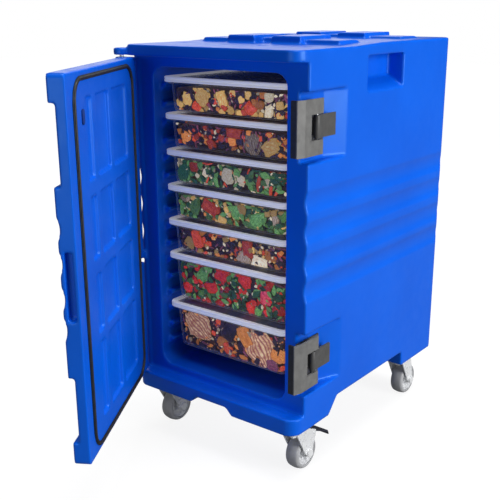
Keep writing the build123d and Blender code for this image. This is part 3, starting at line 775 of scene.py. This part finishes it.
# Each food: darkest and lightest colour, roughness, and the colour of its rings or seeds if any
FOODS = {
    "squash": ((0.62, 0.3, 0.05), (0.9, 0.72, 0.3), 0.34, (0.75, 0.35, 0.08)),
    "pepper": ((0.45, 0.03, 0.015), (0.85, 0.13, 0.06), 0.25),
    "carrot": ((0.55, 0.13, 0.02), (0.9, 0.36, 0.1), 0.33),
    "cream": ((0.62, 0.45, 0.25), (0.92, 0.85, 0.66), 0.4),
    "mushroom": ((0.32, 0.2, 0.14), (0.72, 0.6, 0.48), 0.45, (0.2, 0.12, 0.09)),
    "cabbage": ((0.08, 0.012, 0.05), (0.38, 0.12, 0.2), 0.3),
    "aubergine": ((0.01, 0.008, 0.02), (0.055, 0.03, 0.06), 0.28),
    "herb": ((0.03, 0.13, 0.03), (0.22, 0.45, 0.14), 0.35),
    "dark_leaf": ((0.008, 0.03, 0.02), (0.035, 0.12, 0.06), 0.32),
    "tomato": ((0.4, 0.01, 0.012), (0.82, 0.06, 0.04), 0.2),
    "berry_red": ((0.45, 0.01, 0.05), (0.85, 0.12, 0.16), 0.22),
    "grain": ((0.35, 0.12, 0.05), (0.85, 0.62, 0.36), 0.45, (0.3, 0.05, 0.06)),
    # painted shade: a near-black finish for the packed core, seen as shade in the gaps between the
    # morsels
    "shaded_core": ((0.008, 0.006, 0.008), (0.04, 0.02, 0.025), 0.3),
}


def ball(level):
    """Points and faces of a unit ball."""
    bm = bmesh.new()
    bmesh.ops.create_icosphere(bm, subdivisions=level, radius=1)
    points = np.array([v.co[:] for v in bm.verts])
    faces = np.array([[v.index for v in f.verts] for f in bm.faces])
    bm.free()
    return points, faces


def morsel(kind, scale, unit, seed):
    """Points of one piece of food about the origin, its thin side along Y."""
    size, roundness, bend, point = MORSELS[kind]
    shaped = np.sign(unit) * np.abs(unit) ** roundness
    width = 1 - point * np.abs(unit[:, :1]) ** 1.6
    shaped[:, 1:2] *= width
    away = Vector((seed * 97.0, 0, 0))
    lumps = np.array([noise.noise(Vector(p * LUMP_SCALE) + away) for p in unit])
    shaped *= 1 + LUMP_HEIGHT * lumps[:, None]
    shaped[:, 2] += bend * shaped[:, 0] ** 2 * 0.35 * size[0] / max(size[2], 1)
    shaped *= np.array(size) * scale / 1000
    return shaped[:, [0, 2, 1]]


class Tub:
    """Where the food lies: the inner face of one pan's walls."""

    def __init__(self, k):
        low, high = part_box(f"food_{k}")
        pan_low, pan_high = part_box(f"pan_{k}")
        self.middle = (pan_low + pan_high) / 2
        self.rim = pan_high.z
        self.floor = low.z
        self.top = high.z
        wall = TUB_WALL + WALL_GAP
        self.half_x = (pan_high.x - pan_low.x) / 2 - FLANGE_OVERHANG[0] - wall
        self.half_y = (pan_high.y - pan_low.y) / 2 - FLANGE_OVERHANG[1] - wall
        self.radius = TUB_CORNER - TUB_WALL

    def wall(self, along, height):
        """(point, outward direction) at a height; along runs 0 to 1 across the front, and
        beyond that back along the left side (below 0) and the right side (above 1)."""
        inset = (self.rim - height) * TUB_TAPER
        half_x, half_y, r = self.half_x - inset, self.half_y - inset, self.radius
        span = 2 * (half_x - r)
        turn = r * math.pi / 2
        s = (along - 0.5) * 2 * self.half_x
        side = -1 if s < 0 else 1
        s = abs(s)
        if s <= span / 2:
            x, y, facing = side * s, -half_y, Vector((0, -1, 0))
        elif s <= span / 2 + turn:
            angle = (s - span / 2) / r
            facing = Vector((side * math.sin(angle), -math.cos(angle), 0))
            x, y = side * span / 2 + r * facing.x, -(half_y - r) + r * facing.y
        else:
            back = s - span / 2 - turn
            x, y, facing = side * half_x, -(half_y - r) + back, Vector((side, 0, 0))
        place = Vector((self.middle.x + x, self.middle.y + y, height))
        return place, (facing - Vector((0, 0, TUB_TAPER))).normalized()


def lay_against_wall(points, tub, along, height, turn, depth):
    """Moves a morsel so that its flat side rests on the inside of the tub's wall."""
    place, facing = tub.wall(along, height)
    up = Vector((0, 0, 1))
    across = up.cross(-facing).normalized()
    turned = Matrix.Rotation(math.radians(turn), 3, "Y")
    basis = Matrix((across, -facing, (-facing).cross(-across).normalized())).transposed()
    matrix = np.array(basis @ turned)
    laid = points @ matrix.T
    outwards = laid @ np.array(facing)
    laid += np.array(place) - np.array(facing) * (outwards.max() + depth)
    laid[:, 2] = np.clip(laid[:, 2], tub.floor + 0.0015, tub.top - 0.0008)
    return laid


def food_core(tub):
    """The closely packed mass behind the visible pieces, whose near-black finish paints the shade in
    the gaps between them.
    """
    at_floor = (tub.rim - tub.floor) * TUB_TAPER
    at_top = (tub.rim - tub.top) * TUB_TAPER
    profile = [(at_floor + 0.03, tub.floor + 0.001), (at_floor + 0.0095, tub.floor + 0.005)]
    profile += [(at_top + 0.0065, tub.top - 0.007), (at_top + 0.012, tub.top - 0.004)]
    points, faces = sweep_loop(profile, tub.half_x, tub.half_y, tub.radius, False)
    placed = np.array([(tub.middle.x + x, tub.middle.y + y, z) for x, y, z in points])
    return placed, faces


def build_food(k, finishes, balls):
    """One pan's portion: large pieces placed as listed, then a seeded mixture packed round them."""
    rng = random.Random(700 + k)
    tub = Tub(k)
    mixture, placed = RECIPES[k]
    names = sorted({finish for _, finish in mixture} | {p[1] for p in placed})
    points, faces = food_core(tub)
    all_points = [points]
    all_faces = [tuple(f) for f in faces]
    # what the finishes read: a place of its own for each morsel's mottling, and its tone
    owns = [points * 60]
    tones = [np.zeros(len(points))]
    indices = [len(names)] * len(faces)
    count = len(points)

    def put(kind, finish, along, height, scale, turn, depth):
        nonlocal count
        level = 3 if scale * MORSELS[kind][0][0] > FINE_MORSEL else 2
        unit, triangles = balls[level]
        shape = morsel(kind, scale, unit, rng.random())
        lift = tub.floor + height * (tub.top - tub.floor)
        laid = lay_against_wall(shape, tub, along, lift, turn, depth)
        all_points.append(laid)
        all_faces.extend(tuple(f) for f in (triangles + count))
        owns.append(unit * 1.5 + rng.random() * 50)
        tones.append(np.full(len(unit), rng.random()))
        indices.extend([names.index(finish)] * len(triangles))
        count += len(unit)

    for kind, finish, along, height, scale, turn in placed:
        put(kind, finish, along, height, scale, turn, WALL_GAP)
    kinds = list(mixture)
    weights = [mixture[kind] for kind in kinds]
    deeper = DEEP_PAN_SHARE if k >= FIRST_DEEP_PAN else 1
    for layer, total in MORSEL_LAYERS:
        for _ in range(round(total * deeper)):
            kind, finish = rng.choices(kinds, weights)[0]
            # three in ten may lie beyond the front, along the tub's sides
            along = rng.uniform(-0.45, 1.45) if rng.random() < 0.3 else rng.uniform(0, 1)
            height = rng.random()
            scale = rng.uniform(*MORSEL_SCALES)
            turn = rng.uniform(0, 360)
            put(kind, finish, along, height, scale, turn, layer + rng.uniform(0, LAYER_THICK))
    # the packed core takes the last finish, near black, which paints the shade between the morsels
    materials = [finishes[n] for n in names] + [finishes["shaded_core"]]
    piece = new_piece(f"portion_{k}", np.concatenate(all_points), all_faces, f"pan_set_{k}",
                      materials, indices)
    tone = piece.data.attributes.new("tone", "FLOAT", "POINT")
    tone.data.foreach_set("value", np.concatenate(tones).astype(np.float32))
    own = piece.data.attributes.new("own", "FLOAT_VECTOR", "POINT")
    own.data.foreach_set("vector", np.concatenate(owns).astype(np.float32).ravel())
    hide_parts(f"food_{k}")


def build_pans():
    clear = clear_plastic()
    rim = lid_plastic()
    panel = lid_panel()
    finishes = {name: food_finish(name, *look) for name, look in FOODS.items()}
    balls = {level: ball(level) for level in (2, 3)}
    for k in range(1, PAN_COUNT + 1):
        build_pan(k, clear)
        build_lid(k, rim, panel)
        build_food(k, finishes, balls)


# ---------------------------------------------------------------- studio

def link_lamp(name, light, turn, place=(0, 0, 0)):
    lamp = bpy.data.objects.new(name, light)
    lamp.location = place
    lamp.rotation_euler = turn
    bpy.context.scene.collection.objects.link(lamp)


def area_light(name, place, target, size, power):
    light = bpy.data.lights.new(name, "AREA")
    light.shape = "SQUARE"
    light.size = size
    light.energy = power
    aim = Vector(target) - Vector(place)
    link_lamp(name, light, aim.to_track_quat("-Z", "Y").to_euler(), place)


def sun_light(name, direction, power, spread):
    """Even light over the whole floor, soft as the share of the sky that it fills."""
    light = bpy.data.lights.new(name, "SUN")
    light.energy = power
    light.angle = math.radians(spread)
    link_lamp(name, light, Vector(direction).to_track_quat("Z", "Y").to_euler())


def studio_floor(place):
    """Grey paper that glows for the camera only, so that it looks white and lights little."""
    bpy.ops.mesh.primitive_plane_add(size=2 * FLOOR_REACH, location=place)
    floor = bpy.context.object
    floor.name = "studio_floor"
    paper = Finish("white_floor", (0.13, 0.13, 0.13), 0.9, Emission_Color=(1, 1, 1, 1))
    paper.feed("Base Color", paper.mix(paper.noise(2, 2), (0.12, 0.12, 0.12), (0.14, 0.14, 0.14)))
    seen = paper.add("ShaderNodeLightPath").outputs["Is Camera Ray"]
    paper.feed("Emission Strength", paper.remap(seen, *FLOOR_GLOW, 0, 1))
    floor.data.materials.append(paper.material)


def studio_world():
    """White for the camera, and a dim light from all round for the object."""
    world = bpy.data.worlds.new("studio")
    world.use_nodes = True
    nodes = world.node_tree.nodes
    links = world.node_tree.links
    background = nodes["Background"]
    background.inputs["Color"].default_value = (1, 1, 1, 1)
    ray = nodes.new("ShaderNodeLightPath")
    level = nodes.new("ShaderNodeMapRange")
    level.inputs["To Min"].default_value = AMBIENT
    level.inputs["To Max"].default_value = 1.0
    links.new(ray.outputs["Is Camera Ray"], level.inputs["Value"])
    links.new(level.outputs["Result"], background.inputs["Strength"])
    bpy.context.scene.world = world


def build_studio():
    """Floor and surround, a soft sky overhead, and softboxes at the side, front and back."""
    low, high = (Vector(corner) for corner in CAD_BOX)
    middle = (low + high) / 2
    studio_floor((middle.x, middle.y, low.z))
    studio_world()
    sun_light("sky_sheet", SKY_FROM, SKY_POWER, SKY_SPREAD)
    for name, (place, size, power) in SOFTBOXES.items():
        area_light(name, place, middle, size, power)
    bpy.context.scene.view_settings.view_transform = "Standard"


def build_camera():
    data = bpy.data.cameras.new("camera")
    data.lens = CAMERA_LENS
    data.shift_x, data.shift_y = CAMERA_SHIFT
    camera = bpy.data.objects.new("camera", data)
    turn = Matrix.Rotation(math.radians(CAMERA_TURN), 4, "Z")
    tilt = Matrix.Rotation(math.radians(CAMERA_TILT), 4, "X")
    roll = Matrix.Rotation(math.radians(CAMERA_ROLL), 4, "Z")
    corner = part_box("cabinet_foam")[1]
    place = Vector((corner.x, corner.y, CAD_BOX[0][2])) + Vector(CAMERA_FROM_CORNER)
    camera.matrix_world = Matrix.Translation(place) @ turn @ tilt @ roll
    bpy.context.scene.collection.objects.link(camera)
    bpy.context.scene.camera = camera


build_camera()
build_studio()
rubber = black_rubber()
build_body(rubber)
build_latches(rubber)
build_casters()
build_pans()
